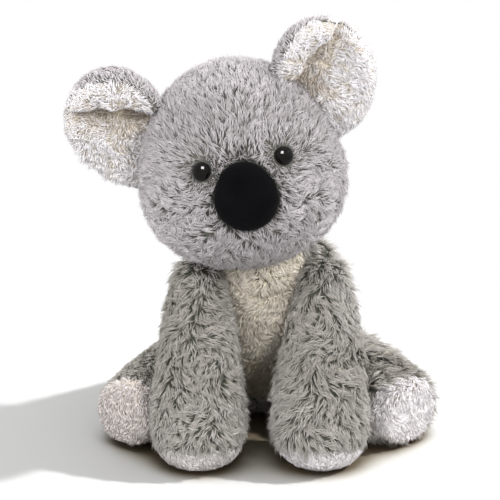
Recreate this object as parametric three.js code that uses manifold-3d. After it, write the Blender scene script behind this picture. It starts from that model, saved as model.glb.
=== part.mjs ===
// A seated plush koala, in millimetres, +Z up, facing -Y, with the origin at the centre of its flat seat.
// Left and right are the toy's own: its left side is at +X. Places are measured from a point on the floor
// below the neck, seatBack in front of the seat's centre, and the finished toy is moved by that much.
// Every stuffed piece is a sewn cover with a filling inside it, and every joint is a stuffed ball in a
// seat of the same centre, so the pieces keep their gap in every pose.

import * as THREE from 'three';
import { mergeVertices } from 'three/addons/utils/BufferGeometryUtils.js';
import Module from 'manifold-3d';

const wasm = await Module();
wasm.setup();

// Shared sizes
const gap = 0.3; // between two pieces that touch
const coverThickness = 4; // backing cloth with its dense pile
const floorSink = 0.5; // how far a form's round underside would pass below the floor before it is cut flat
const floorLevel = 0;
const farSize = 400; // larger than the toy, for cutting blocks

const seatBack = 38; // from below the neck back to the seat's centre

// Body: level cuts from the seat up to the neck, evenly spaced
const body = {
  bottom: -floorSink,
  top: 128,
  fullness: 0.62,
  around: 18,
  along: 11,
  sections: [
    { y: seatBack, halfWidth: 43, halfDepth: 40 },
    { y: 34, halfWidth: 48, halfDepth: 45 },
    { y: 27, halfWidth: 48, halfDepth: 44 },
    { y: 16, halfWidth: 45, halfDepth: 38 },
    { y: 5, halfWidth: 44, halfDepth: 31 },
    { y: -3, halfWidth: 44, halfDepth: 27 },
  ],
};
const bellyPanel = { bottom: 10, top: 104, halfWidthLow: 15, halfWidthHigh: 29, bulge: 1 };
const pelletBag = { y: seatBack, bottom: 0, top: 25, halfWidth: 14, halfDepth: 18, fullness: 0.8 };

// Neck: a stuffed ball that fits the top of the body and the underside of the head
const neck = { x: 0, y: -4, z: 104, radius: 23 };
const neckCoreRadius = 18;
const neckOpeningShare = 0.55; // radius of the cover's top and bottom openings, as a share of its own
// The room that the head takes as it leans and nods, as radius and height pairs from the neck's centre
const headRoomOutline = [[0, -3.5], [20, -3.5], [36, -0.5], [46, 4.5], [62, 16]];

// Head, in a frame at the neck's centre, before it leans
const headLean = 10; // degrees, towards -X
const headCentre = { x: -2, y: -7, z: 57 };
const head = {
  bottom: -54,
  top: 56,
  fullness: 0.95,
  around: 22,
  along: 13,
  sections: [
    { y: 0, halfWidth: 62, halfDepth: 55 },
    { y: 0, halfWidth: 58.5, halfDepth: 53.5 },
    { y: 0, halfWidth: 53.5, halfDepth: 51.5 },
    { y: 1, halfWidth: 50, halfDepth: 48 },
    { y: 2, halfWidth: 47.5, halfDepth: 46 },
  ],
};

// Face, measured from the head's centre
const nose = {
  x: 3, y: -51, z: -2, halfWidth: 16.8, halfHeight: 18.2, halfDepth: 13, tipShare: 0.86, pitch: 4, wall: 2,
  fullness: 0.85, cover: { around: 16, along: 9 }, inside: { around: 12, along: 7 },
};
const eye = {
  radius: 5, flange: 4.6, flangeHeight: 1.2, stem: 1.6, stemLength: 11, dome: 4, clearance: 10, pitch: 22,
  washer: 6, washerHeight: 1.5, washerDepth: 5.2, around: 10,
};
// Each eye's seat on the head, and how far it is turned out from straight ahead
const eyePlaces = {
  left: { x: 24.9, y: -41.5, z: 12.8, turn: 29 },
  right: { x: -16.9, y: -45.1, z: 12.8, turn: -20 },
};

// Ears: a dished disc of two layers with its rim rolled forward, stretched to stand taller than it is wide
const ear = {
  radius: 25, dish: 5, layer: 4, rimRoll: 2.5, rimWidth: 3.5, liningTop: 0.97, steps: 4, around: 18,
  stretch: 1.18, fold: 18, tuckBend: 1.3,
};
// Each ear's rise above the level and its reach from the head's centre, with the radius of its root and
// how far its lower end is tucked in towards the head
const earPlaces = {
  left: { side: 1, rise: 36, root: 50, reach: 63.5, back: 6, tuck: 0 },
  right: { side: -1, rise: 26, root: 53, reach: 67, back: 6, tuck: 12 },
};

// Arms, in a frame at the shoulder
const shoulder = { x: 34.5, y: -13, z: 89, radius: 16 };
const arm = {
  bottom: -shoulder.z - floorSink,
  top: shoulder.radius,
  fullness: 0.36,
  topFullness: 0.5,
  around: 14,
  along: 10,
  sections: [
    { y: -33, halfWidth: 27, halfDepth: 23 },
    { y: -32, halfWidth: 26, halfDepth: 23.5 },
    { y: -26, halfWidth: 22.5, halfDepth: 20.5 },
    { y: -17, halfWidth: 19.5, halfDepth: 18.5 },
    { y: -8, halfWidth: 17.5, halfDepth: 17 },
    { y: 0, halfWidth: 16, halfDepth: 15.5 },
  ],
};
const armTurnIn = { left: 5, right: 0 }; // degrees, as each arm is posed
const armSwing = 60; // degrees, forward and up
const sole = { y: -57, z: 18, slope: 16 }; // the seam round the sole, at the toe

// Legs, in a frame at the hip: the leg lies along -Y
const hip = { x: 38, y: 27, z: 24, radius: 20 };
const leg = {
  bottom: -hip.radius,
  top: 71,
  fullness: 0.5,
  topFullness: 0.2,
  around: 14,
  along: 9,
  sections: [
    { y: 0, halfWidth: 20, halfDepth: 20 },
    { y: 0, halfWidth: 24, halfDepth: 24.5 },
    { y: -1, halfWidth: 23, halfDepth: 23.5 },
    { y: -2.5, halfWidth: 21.5, halfDepth: 22 },
    { y: -3.5, halfWidth: 21, halfDepth: 21 },
  ],
};
// Each leg's splay from straight ahead, and how far it swings in and out from there
const legPlaces = {
  left: { splay: 40, swingIn: 6, swingOut: 25 },
  right: { splay: 34, swingIn: 0, swingOut: 25 },
};
const footPad = { depth: 10, turnIn: 12 };

// Facets of the balls, and of the surfaces inside the covers
const ballAround = 16;
const ballAlong = 9;
const seatGap = 0.9; // between a ball and its seat, with room for their facets
const coarseBody = { around: 12, along: 7 };
const coarseHead = { around: 14, along: 9 };
const coarseLimb = { around: 10, along: 6 };

// Colours
const greyPile = 0xa9a8a8;
const whitePile = 0xe9e3df;
const blackCloth = 0x17181b;
const blackPlastic = 0x08080a;
const stuffingWhite = 0xf4f4f1;
const pelletBeige = 0xcfc3a8;
const washerWhite = 0xe6e6e2;

const radians = THREE.MathUtils.degToRad;
const halfTurn = 180; // degrees
const origin = { x: 0, y: 0, z: 0 };

function cloth(color) {
  return new THREE.MeshStandardMaterial({ color, roughness: 0.95, metalness: 0 });
}

function plastic(color, roughness) {
  return new THREE.MeshStandardMaterial({ color, roughness, metalness: 0 });
}

// A closed solid from a closed geometry, moved by a matrix if one is given
function solidOf(geometry, matrix) {
  const shell = geometry.clone();
  shell.deleteAttribute('normal');
  shell.deleteAttribute('uv');
  if (matrix) shell.applyMatrix4(matrix);
  const merged = mergeVertices(shell);
  return new wasm.Manifold(new wasm.Mesh({
    numProp: 3,
    vertProperties: new Float32Array(merged.attributes.position.array),
    triVerts: new Uint32Array(merged.index.array),
  }));
}

function geometryOf(solid) {
  const mesh = solid.getMesh();
  const geometry = new THREE.BufferGeometry();
  geometry.setAttribute('position', new THREE.BufferAttribute(mesh.vertProperties, 3));
  geometry.setIndex(new THREE.BufferAttribute(mesh.triVerts, 1));
  geometry.computeVertexNormals();
  return geometry;
}

function piece(name, solid, material) {
  const mesh = new THREE.Mesh(geometryOf(solid), material);
  mesh.name = name;
  return mesh;
}

function moved(x, y, z) {
  return new THREE.Matrix4().makeTranslation(x, y, z);
}

function ball(centre, radius) {
  const sphere = new THREE.SphereGeometry(radius, ballAround, ballAlong);
  return solidOf(sphere, moved(centre.x, centre.y, centre.z));
}

// A block whose top face is tilted about X and passes through the given point
function blockBelow(y, z, tilt) {
  const block = new THREE.BoxGeometry(farSize, farSize, farSize);
  const lowered = moved(0, 0, -farSize / 2);
  const tilted = new THREE.Matrix4().makeRotationX(radians(tilt));
  return solidOf(block, moved(0, y, z).multiply(tilted).multiply(lowered));
}

function widthsAlong(sections) {
  return new THREE.CatmullRomCurve3(sections.map((s) => new THREE.Vector3(s.halfWidth, s.halfDepth, 0)));
}

function centresAlong(sections) {
  return new THREE.CatmullRomCurve3(sections.map((s) => new THREE.Vector3(s.x ?? 0, s.y ?? 0, 0)));
}

// A stuffed form: a sphere stretched between its two ends, whose level cuts swell and taper and wander
// with its sections. An inset draws the whole surface in, and a negative one lets it out.
function stuffedForm(form, inset = 0) {
  const widths = widthsAlong(form.sections);
  const centres = centresAlong(form.sections);
  const geometry = new THREE.SphereGeometry(1, form.around, form.along);
  const position = geometry.attributes.position;
  const low = form.bottom + inset;
  const high = form.top - inset;
  for (let i = 0; i < position.count; i += 1) {
    const pole = THREE.MathUtils.clamp(position.getY(i), -1, 1);
    const share = (1 + pole) / 2;
    const ring = Math.sqrt(Math.max(0, 1 - pole * pole));
    const fullness = pole > 0 ? form.topFullness ?? form.fullness : form.fullness;
    const swell = ring > 0 ? Math.pow(ring, fullness - 1) : 0;
    const width = widths.getPoint(share);
    const centre = centres.getPoint(share);
    position.setXYZ(
      i,
      centre.x + position.getX(i) * swell * (width.x - inset),
      centre.y - position.getZ(i) * swell * (width.y - inset),
      THREE.MathUtils.lerp(low, high, share),
    );
  }
  return geometry;
}

// A solid of revolution about the local Z axis, from a profile of radius and height pairs
function turned(profile, around) {
  const points = profile.map(([radius, height]) => new THREE.Vector2(radius, height));
  const geometry = new THREE.LatheGeometry(points, around);
  geometry.applyMatrix4(new THREE.Matrix4().makeRotationX(radians(90)));
  return geometry;
}

// Body

const floorBlock = blockBelow(0, floorLevel, 0);

// The room above the body in which the head leans and nods, let out by the given clearance
function headRoom(clearance) {
  const outline = headRoomOutline.map(([radius, height]) => [radius, height - clearance]);
  const edge = outline[outline.length - 1][0];
  const profile = [...outline, [edge, farSize], [0, farSize]];
  return solidOf(turned(profile, ballAround), moved(neck.x, neck.y, neck.z));
}

// The body's seats for the neck and the limbs, and the head's room, let out by the given clearance
function bodySeats(clearance) {
  const seats = [ball(neck, neck.radius + seatGap + clearance), headRoom(clearance)];
  for (const side of [-1, 1]) {
    for (const joint of [shoulder, hip]) {
      const centre = { x: side * joint.x, y: joint.y, z: joint.z };
      seats.push(ball(centre, joint.radius + seatGap + clearance));
    }
  }
  return seats;
}

function cutAll(solid, cutters) {
  return cutters.reduce((rest, cutter) => rest.subtract(cutter), solid);
}

// The cover runs on round its seats, so the filling shows nowhere
function bodyInside(clearance) {
  const inside = solidOf(stuffedForm({ ...body, ...coarseBody }, clearance));
  return cutAll(inside, bodySeats(clearance));
}

const bodyOuter = cutAll(solidOf(stuffedForm(body)), [floorBlock, ...bodySeats(0)]);
const bodyShell = bodyOuter.subtract(bodyInside(coverThickness));

function bellyOutline(margin) {
  const { bottom, top, halfWidthLow, halfWidthHigh, bulge } = bellyPanel;
  const outline = new THREE.Shape();
  outline.moveTo(-halfWidthLow - margin, bottom - margin);
  outline.lineTo(halfWidthLow + margin, bottom - margin);
  const middle = (bottom + top) / 2;
  const reach = (halfWidthLow + halfWidthHigh) / 2 + bulge + margin;
  outline.quadraticCurveTo(reach, middle, halfWidthHigh + margin, top + margin);
  outline.lineTo(-halfWidthHigh - margin, top + margin);
  outline.quadraticCurveTo(-reach, middle, -halfWidthLow - margin, bottom - margin);
  return outline;
}

// The outline stands in the XZ plane and reaches forward from the middle of the body
function bellyBlock(margin) {
  const block = new THREE.ExtrudeGeometry(bellyOutline(margin), {
    depth: farSize / 2,
    bevelEnabled: false,
    curveSegments: 8,
  });
  return solidOf(block, new THREE.Matrix4().makeRotationX(radians(90)));
}

function pelletForm(clearance) {
  const { y, bottom, top, halfWidth, halfDepth, fullness } = pelletBag;
  const sections = [{ y, halfWidth, halfDepth }, { y, halfWidth, halfDepth }];
  return solidOf(stuffedForm({ bottom, top, fullness, sections, ...coarseBody }, -clearance));
}

// The bag lies on the seat's cover, under the filling
const stuffedBody = bodyInside(coverThickness + gap);
const pellets = stuffedBody.intersect(pelletForm(0));
const bodyFilling = stuffedBody.subtract(pelletForm(gap));

const koala = new THREE.Group();
koala.add(
  piece('body_cover', bodyShell.subtract(bellyBlock(gap)), cloth(greyPile)),
  piece('belly_panel', bodyShell.intersect(bellyBlock(0)), cloth(whitePile)),
  piece('body_filling', bodyFilling, cloth(stuffingWhite)),
  piece('pellet_bag', pellets, cloth(pelletBeige)),
);

// Neck

// A ball's wall between two radii, open above and below
function neckWall(outer, inner) {
  const opening = outer * neckOpeningShare;
  const edge = Math.asin(opening / outer);
  const innerEdge = Math.asin(opening / inner);
  const points = [];
  const steps = 6;
  for (let i = 0; i <= steps; i += 1) {
    const angle = THREE.MathUtils.lerp(Math.PI - edge, edge, i / steps);
    points.push(new THREE.Vector2(outer * Math.sin(angle), outer * Math.cos(angle)));
  }
  for (let i = 0; i <= steps; i += 1) {
    const angle = THREE.MathUtils.lerp(innerEdge, Math.PI - innerEdge, i / steps);
    points.push(new THREE.Vector2(inner * Math.sin(angle), inner * Math.cos(angle)));
  }
  points.push(points[0].clone());
  const wall = new THREE.LatheGeometry(points, ballAround);
  return solidOf(wall, new THREE.Matrix4().makeRotationX(radians(90)));
}

const neckGroup = new THREE.Group();
neckGroup.position.set(neck.x, neck.y, neck.z);
neckGroup.add(
  piece('neck_cover', neckWall(neck.radius, neckCoreRadius + seatGap), cloth(greyPile)),
  piece('neck_filling', ball(origin, neckCoreRadius), cloth(stuffingWhite)),
);
koala.add(neckGroup);

// Head

const toHeadCentre = moved(headCentre.x, headCentre.y, headCentre.z);
const innerHead = { ...head, ...coarseHead };

function headForm(form, inset) {
  return solidOf(stuffedForm(form, inset), toHeadCentre);
}

// Eyes look along the local +Z axis, which the frame turns outwards from the face
function eyeFrame(place) {
  const seat = moved(headCentre.x + place.x, headCentre.y + place.y, headCentre.z + place.z);
  const outward = new THREE.Matrix4().makeRotationZ(radians(place.turn));
  const forward = new THREE.Matrix4().makeRotationX(radians(90 - eye.pitch));
  return seat.multiply(outward).multiply(forward);
}

function eyeProfile() {
  const profile = [[0, -eye.stemLength], [eye.stem, -eye.stemLength], [eye.stem, 0], [eye.flange, 0]];
  const steps = 5;
  for (let i = 0; i <= steps; i += 1) {
    const angle = (Math.PI / 2) * (i / steps);
    profile.push([eye.radius * Math.cos(angle), eye.flangeHeight + eye.dome * Math.sin(angle)]);
  }
  profile[profile.length - 1][0] = 0;
  return profile;
}

function washerProfile() {
  const bore = eye.stem + gap;
  const low = -eye.washerDepth - eye.washerHeight;
  const high = -eye.washerDepth;
  return [[bore, low], [eye.washer, low], [eye.washer, high], [bore, high], [bore, low]];
}

// The room that an eye takes in the head: its stem, its washer and its flange
function eyeRoom(place) {
  const reach = eye.stem + gap;
  const low = -eye.washerDepth - eye.washerHeight - gap;
  const high = -eye.washerDepth + gap;
  const wide = eye.washer + gap;
  const profile = [
    [0, -eye.stemLength - gap], [reach, -eye.stemLength - gap], [reach, low], [wide, low],
    [wide, high], [reach, high], [reach, -gap], [eye.radius + gap, -gap],
    [eye.radius + gap, eye.clearance], [0, eye.clearance],
  ];
  return solidOf(turned(profile, eye.around), eyeFrame(place));
}

function headAroundSocket(form, clearance) {
  return headForm(form, clearance).subtract(ball(origin, neck.radius + seatGap + clearance));
}

const eyeRooms = Object.values(eyePlaces).map(eyeRoom);
const headShell = headAroundSocket(head, 0).subtract(headAroundSocket(innerHead, coverThickness));
const headCover = cutAll(headShell, eyeRooms);
const headFilling = cutAll(headAroundSocket(innerHead, coverThickness + gap), eyeRooms);

const headGroup = new THREE.Group();
headGroup.position.set(neck.x, neck.y, neck.z);
headGroup.rotation.y = radians(-headLean);
headGroup.add(
  piece('head_cover', headCover, cloth(greyPile)),
  piece('head_filling', headFilling, cloth(stuffingWhite)),
);

for (const [name, place] of Object.entries(eyePlaces)) {
  const eyeSolid = solidOf(turned(eyeProfile(), eye.around), eyeFrame(place));
  const washerSolid = solidOf(turned(washerProfile(), eye.around), eyeFrame(place));
  headGroup.add(
    piece(`${name}_eye`, eyeSolid, plastic(blackPlastic, 0.08)),
    piece(`${name}_eye_washer`, washerSolid, plastic(washerWhite, 0.5)),
  );
}

// The nose stands on the face, wider below than above, and is open at the back where it is sewn on
function noseForm(inset, facets) {
  const form = {
    bottom: -nose.halfHeight,
    top: nose.halfHeight,
    fullness: nose.fullness,
    ...facets,
    sections: [
      { halfWidth: nose.halfWidth, halfDepth: nose.halfDepth },
      { halfWidth: nose.halfWidth, halfDepth: nose.halfDepth },
      { halfWidth: nose.halfWidth * nose.tipShare, halfDepth: nose.halfDepth * nose.tipShare },
    ],
  };
  const place = moved(headCentre.x + nose.x, headCentre.y + nose.y, headCentre.z + nose.z);
  const pitched = new THREE.Matrix4().makeRotationX(radians(nose.pitch));
  return solidOf(stuffedForm(form, inset), place.multiply(pitched));
}

const faceBehindNose = headForm(head, -gap);
const noseInside = noseForm(nose.wall, nose.inside);
const noseCover = noseForm(0, nose.cover).subtract(noseInside).subtract(faceBehindNose);
const noseFilling = noseForm(nose.wall + gap, nose.inside).subtract(faceBehindNose);
headGroup.add(
  piece('nose_cover', noseCover, cloth(blackCloth)),
  piece('nose_filling', noseFilling, cloth(stuffingWhite)),
);

// Ears

// The back layer is a dish about the local Z axis that opens towards +Z and rolls its rim forward
function earBackProfile() {
  const { radius, dish, layer, rimRoll, rimWidth, steps } = ear;
  const under = [];
  const over = [];
  for (let i = 0; i <= steps; i += 1) {
    const share = i / steps;
    under.push([radius * share, dish * share * share]);
    over.push([(radius - rimWidth) * share, dish * share * share + layer]);
  }
  const rim = [[radius + rimWidth / 2, dish + layer], [radius - rimWidth / 2, dish + layer + rimRoll]];
  return [...under, ...rim, ...over.reverse()];
}

// The lining lies in the dish, inside the rolled rim
function earLiningProfile() {
  const { radius, dish, layer, rimWidth, steps } = ear;
  const reach = radius - rimWidth - gap;
  const under = [];
  const over = [];
  for (let i = 0; i <= steps; i += 1) {
    const share = i / steps;
    const low = dish * share * share + layer + gap;
    under.push([reach * share, low]);
    over.push([reach * share * ear.liningTop, low + layer]);
  }
  return [...under, ...over.reverse()];
}

// The turn about Y that points +X from the head's centre to an ear
function earAim(place) {
  return place.side > 0 ? -place.rise : halfTurn + place.rise;
}

// The ear's frame stands at the middle of its root, with its free end along +X and its face along -Y
function earFrame(place) {
  const aimed = new THREE.Matrix4().makeRotationY(radians(earAim(place)));
  return toHeadCentre.clone().multiply(aimed).multiply(moved(place.root, place.back, 0));
}

function hinged(frame, axis, angle) {
  return frame.clone().multiply(new THREE.Matrix4().makeRotationAxis(axis, radians(angle)));
}

// Cuts a neighbour away from a limb in each of the limb's poses
function cutInPoses(solid, neighbour, frame, axis, poses) {
  const cutters = poses.map((angle) => solidOf(neighbour, hinged(frame, axis, angle).invert()));
  return cutAll(solid, cutters);
}

const alongX = new THREE.Vector3(1, 0, 0);
const alongZ = new THREE.Vector3(0, 0, 1);
const headGrown = stuffedForm(head, -gap).applyMatrix4(toHeadCentre);

// An ear's shape while it hangs upright: stretched, with its lower end tucked in
function hangingEar(profile, place, upright) {
  const shape = turned(profile, ear.around);
  shape.applyMatrix4(new THREE.Matrix4().makeRotationX(radians(90)));
  shape.applyMatrix4(upright);
  shape.applyMatrix4(new THREE.Matrix4().makeScale(1, 1, ear.stretch));
  const position = shape.attributes.position;
  for (let i = 0; i < position.count; i += 1) {
    const drop = Math.max(0, -position.getZ(i)) / (ear.radius * ear.stretch);
    position.setX(i, position.getX(i) - place.side * place.tuck * Math.pow(drop, ear.tuckBend));
  }
  return shape;
}

function earLayer(profile, place) {
  const upright = new THREE.Matrix4().makeRotationY(radians(earAim(place) - headLean));
  const placed = moved(place.reach - place.root, ear.layer, 0).multiply(upright.clone().invert());
  const layer = solidOf(hangingEar(profile, place, upright), placed);
  return cutInPoses(layer, headGrown, earFrame(place), alongZ, [-ear.fold, 0, ear.fold]);
}

for (const [name, place] of Object.entries(earPlaces)) {
  const earGroup = new THREE.Group();
  earGroup.applyMatrix4(earFrame(place));
  earGroup.add(
    piece(`${name}_ear_back`, earLayer(earBackProfile(), place), cloth(greyPile)),
    piece(`${name}_ear_lining`, earLayer(earLiningProfile(), place), cloth(whitePile)),
  );
  headGroup.add(earGroup);
}
koala.add(headGroup);

// Arms

// A limb's end fills its seat in the body, and the rest of it keeps clear of the body in every pose
function limbForm(limb, form, inset) {
  const whole = solidOf(stuffedForm(form, inset), limb.turn);
  const seated = whole.intersect(ball(origin, limb.seat - inset));
  const neighbour = stuffedForm(inset > 0 ? { ...body, ...coarseBody } : body, -gap - inset);
  return cutInPoses(whole, neighbour, limb.frame, limb.axis, limb.poses).add(seated);
}

// A limb's cover and the filling inside it, both cut flat where they lie on the floor
function stuffedLimb(limb, form) {
  const coarse = { ...form, ...coarseLimb };
  const floor = blockBelow(0, -limb.height, 0);
  const inside = blockBelow(0, coverThickness - limb.height, 0);
  const filled = blockBelow(0, coverThickness + gap - limb.height, 0);
  const outer = limbForm(limb, form, 0).subtract(floor);
  return {
    shell: outer.subtract(limbForm(limb, coarse, coverThickness).subtract(inside)),
    filling: limbForm(limb, coarse, coverThickness + gap).subtract(filled),
  };
}

function limbGroup(frame, pieces) {
  const group = new THREE.Group();
  group.applyMatrix4(frame);
  group.add(...pieces);
  koala.add(group);
}

// The sole's seam runs level across the paw, higher at the toe
const soleBlock = blockBelow(sole.y, sole.z - shoulder.z, -sole.slope);
const soleSeam = blockBelow(sole.y, sole.z - shoulder.z + gap, -sole.slope);

for (const [side, name] of [[1, 'left'], [-1, 'right']]) {
  const frame = moved(side * shoulder.x, shoulder.y, shoulder.z)
    .multiply(new THREE.Matrix4().makeRotationZ(radians(-side * armTurnIn[name])));
  const { shell, filling } = stuffedLimb({
    frame,
    turn: new THREE.Matrix4(),
    axis: alongX,
    poses: [-armSwing, -armSwing / 2, 0],
    seat: shoulder.radius,
    height: shoulder.z,
  }, arm);
  limbGroup(frame, [
    piece(`${name}_arm_cover`, shell.subtract(soleSeam), cloth(greyPile)),
    piece(`${name}_paw_sole`, shell.intersect(soleBlock), cloth(whitePile)),
    piece(`${name}_arm_filling`, filling, cloth(stuffingWhite)),
  ]);
}

// Legs

// Everything ahead of the seam round a foot pad, which is turned a little towards the front
function padBlock(side, back) {
  const seam = moved(0, footPad.depth + back - leg.top, 0);
  const turnedIn = new THREE.Matrix4().makeRotationZ(radians(-side * footPad.turnIn));
  const block = new THREE.BoxGeometry(farSize, farSize, farSize);
  return solidOf(block, seam.multiply(turnedIn).multiply(moved(0, -farSize / 2, 0)));
}

for (const [side, name] of [[1, 'left'], [-1, 'right']]) {
  const { splay, swingIn, swingOut } = legPlaces[name];
  const frame = moved(side * hip.x, hip.y, hip.z)
    .multiply(new THREE.Matrix4().makeRotationZ(radians(side * splay)));
  const { shell, filling } = stuffedLimb({
    frame,
    turn: new THREE.Matrix4().makeRotationX(radians(90)),
    axis: alongZ,
    poses: [-side * swingIn, 0, side * swingOut],
    seat: hip.radius,
    height: hip.z,
  }, leg);
  limbGroup(frame, [
    piece(`${name}_leg_cover`, shell.subtract(padBlock(side, gap)), cloth(greyPile)),
    piece(`${name}_foot_pad`, shell.intersect(padBlock(side, 0)), cloth(whitePile)),
    piece(`${name}_leg_filling`, filling, cloth(stuffingWhite)),
  ]);
}

koala.position.y = -seatBack;

export default koala;
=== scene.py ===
# Looks for the seated plush koala: cloth skins with the stuffed forms, pile grown strand by strand,
# sewn ears, velvet nose, glossy eyes, studio floor, light and camera.
#
# Lengths are in millimetres until a mesh is made; materials, lamps and the camera are in metres.
# "left" is the toy's own left, +X. Tones run from 0, dark, to 1, pale.

import math
import bpy
import numpy as np
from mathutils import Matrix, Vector
from mathutils.bvhtree import BVHTree
from mathutils.kdtree import KDTree


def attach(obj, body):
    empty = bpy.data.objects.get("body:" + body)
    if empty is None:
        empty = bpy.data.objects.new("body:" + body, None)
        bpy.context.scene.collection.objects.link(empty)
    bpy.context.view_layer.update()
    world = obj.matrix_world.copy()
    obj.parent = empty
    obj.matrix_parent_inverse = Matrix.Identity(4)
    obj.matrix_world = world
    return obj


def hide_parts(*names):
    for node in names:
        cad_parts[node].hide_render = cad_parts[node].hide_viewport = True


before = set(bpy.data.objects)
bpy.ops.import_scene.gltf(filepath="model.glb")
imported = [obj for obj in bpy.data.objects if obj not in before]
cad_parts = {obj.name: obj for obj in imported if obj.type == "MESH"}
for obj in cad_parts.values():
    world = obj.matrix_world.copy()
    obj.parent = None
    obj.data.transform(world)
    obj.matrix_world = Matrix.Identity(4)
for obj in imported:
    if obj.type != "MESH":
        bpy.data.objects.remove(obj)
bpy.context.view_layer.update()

MM = 0.001
SIDES = {"left": 1, "right": -1}

# The neck's centre, the head's centre from there as the head leans, and the face from the head's centre:
# each eye with how far it turns outwards.
NECK = np.array([0.0, -42.0, 104.0])
HEAD_LEAN = 10.0
HEAD_CENTRE = np.array([-2.0, -7.0, 57.0])
NOSE = np.array([3.0, -51.0, -2.0])
EYES = {"left": ((24.9, -41.5, 12.8), 29.0), "right": ((-16.9, -45.1, 12.8), -20.0)}
EYE_PITCH = 22.0
FACE_Y = -60.0


def about_x(degrees):
    c, s = math.cos(math.radians(degrees)), math.sin(math.radians(degrees))
    return np.array([[1, 0, 0], [0, c, -s], [0, s, c]])


def about_y(degrees):
    c, s = math.cos(math.radians(degrees)), math.sin(math.radians(degrees))
    return np.array([[c, 0, s], [0, 1, 0], [-s, 0, c]])


def about_z(degrees):
    c, s = math.cos(math.radians(degrees)), math.sin(math.radians(degrees))
    return np.array([[c, -s, 0], [s, c, 0], [0, 0, 1]])


HEAD_TURN = about_y(-HEAD_LEAN)


def head_point(x, y, z):
    """A point given from the head's centre, as the head leans."""
    return NECK + HEAD_TURN @ (HEAD_CENTRE + np.array([x, y, z]))


HEAD_MIDDLE = head_point(0, 0, 0)
NOSE_AT = head_point(*NOSE)
EYE_AT = {name: head_point(*place) for name, (place, _) in EYES.items()}


def unit(v):
    return v / np.maximum(np.linalg.norm(v, axis=-1, keepdims=True), 1e-9)


def smooth(low, high, value):
    t = np.clip((value - low) / (high - low), 0, 1)
    return t * t * (3 - 2 * t)


def waves(seed, wavelength, count=14):
    """A smooth random field in space with that wavelength and a spread of about 1."""
    rng = np.random.default_rng(seed)
    k = unit(rng.normal(size=(count, 3))) * (2 * math.pi / wavelength) * rng.uniform(0.6, 1.5, (count, 1))
    phase = rng.uniform(0, 2 * math.pi, count)
    return lambda p: np.sin(p @ k.T + phase).sum(-1) / math.sqrt(count / 2)


# Materials

class Graph:
    """A node tree with short ways to add nodes, where a value may be another node's output."""

    def __init__(self, tree):
        self.nodes, self.links = tree.nodes, tree.links

    def give(self, socket, value):
        if isinstance(value, bpy.types.NodeSocket):
            self.links.new(value, socket)
        else:
            socket.default_value = value

    def feed(self, made, **values):
        """Gives a node's sockets and settings their values, by name."""
        for key, value in values.items():
            if key in made.inputs:
                self.give(made.inputs[key], value)
            else:
                setattr(made, key, value)
        return made

    def add(self, kind, **values):
        return self.feed(self.nodes.new("ShaderNode" + kind), **values)

    def join(self, kind, operation, *values):
        """The result of a math node on some values."""
        made = self.add(kind, operation=operation)
        for socket, value in zip(made.inputs, values):
            self.give(socket, value)
        return made.outputs[0]

    def noise(self, place, **values):
        return self.add("TexNoise", Vector=place, **values).outputs["Fac"]

    def spread(self, value, low, high, start=0.0, end=1.0, **settings):
        """A value between start and end, spread from low to high."""
        limits = {"From Min": start, "From Max": end, "To Min": low, "To Max": high}
        return self.add("MapRange", Value=value, **limits, **settings).outputs["Result"]

    def ramp(self, value, stops):
        """A value turned into colour by pairs of place and colour on screen."""
        made = self.add("ValToRGB", Fac=value)
        elements = made.color_ramp.elements
        while len(elements) < len(stops):
            elements.new(0.5)
        for element, (place, colour) in zip(elements, stops):
            element.position = place
            element.color = linear(colour)
        return made.outputs["Color"]


def linear(colour):
    """A colour written as on screen, 0 to 255, in the light's own scale."""
    c = np.array(colour, float) / 255
    return tuple(np.where(c <= 0.04045, c / 12.92, ((c + 0.055) / 1.055) ** 2.4)) + (1.0,)


def shader(name):
    """A new material with its graph and its principled shader."""
    material = bpy.data.materials.new(name)
    material.use_nodes = True
    graph = Graph(material.node_tree)
    return material, graph, graph.nodes["Principled BSDF"]


WHITE = (255, 255, 255)
FLECK = 0.1
DULL, SHINY = 0.9, 0.62


def pile_material(name, stops, light, dark, sheen, tint, middle=WHITE, bleach=WHITE):
    """Strands coloured from root to tip by V; U makes them light and bleached, or dark and tinted."""
    material, graph, bsdf = shader(name)
    place = graph.add("UVMap", uv_map="OFBake").outputs["UV"]
    split = graph.add("SeparateXYZ", Vector=place).outputs
    tone, along = split["X"], split["Y"]
    stretched = graph.add("Mapping", Vector=place, Scale=(90.0, 3.0, 1.0)).outputs["Vector"]
    fleck = graph.spread(graph.noise(stretched, Scale=1.0, Detail=2.0), 1 - FLECK, 1 + FLECK)
    strength = graph.join("Math", "MULTIPLY", graph.spread(tone, dark, light), fleck)
    warm = graph.ramp(tone, [(0.0, tint), (0.55, middle), (0.85, bleach)])
    tinted = graph.join("VectorMath", "MULTIPLY", graph.ramp(along, stops), warm)
    colour = graph.add("VectorMath", operation="SCALE", Vector=tinted, Scale=strength).outputs[0]
    graph.feed(bsdf, **{"Base Color": colour, "Roughness": graph.spread(along, DULL, SHINY),
                        "Specular IOR Level": 0.3, "Sheen Weight": sheen, "Sheen Roughness": 0.5})
    return material


def cloth_material(name, low, high, scale, bump, roughness=0.95):
    """Knitted backing under the pile, or loose fibre: mottled, with a fine bump."""
    material, graph, bsdf = shader(name)
    place = graph.add("TexCoord").outputs["Object"]
    mottle = graph.noise(place, Scale=scale, Detail=6.0, Roughness=0.65)
    grain = graph.add("TexVoronoi", Vector=place, Scale=scale * 4).outputs["Distance"]
    raised = graph.add("Bump", Height=grain, Strength=bump, Distance=0.0006).outputs["Normal"]
    graph.feed(bsdf, **{"Base Color": graph.ramp(mottle, [(0.3, low), (0.7, high)]), "Normal": raised,
                        "Roughness": graph.spread(mottle, roughness - 0.08, roughness),
                        "Specular IOR Level": 0.2})
    return material


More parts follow.
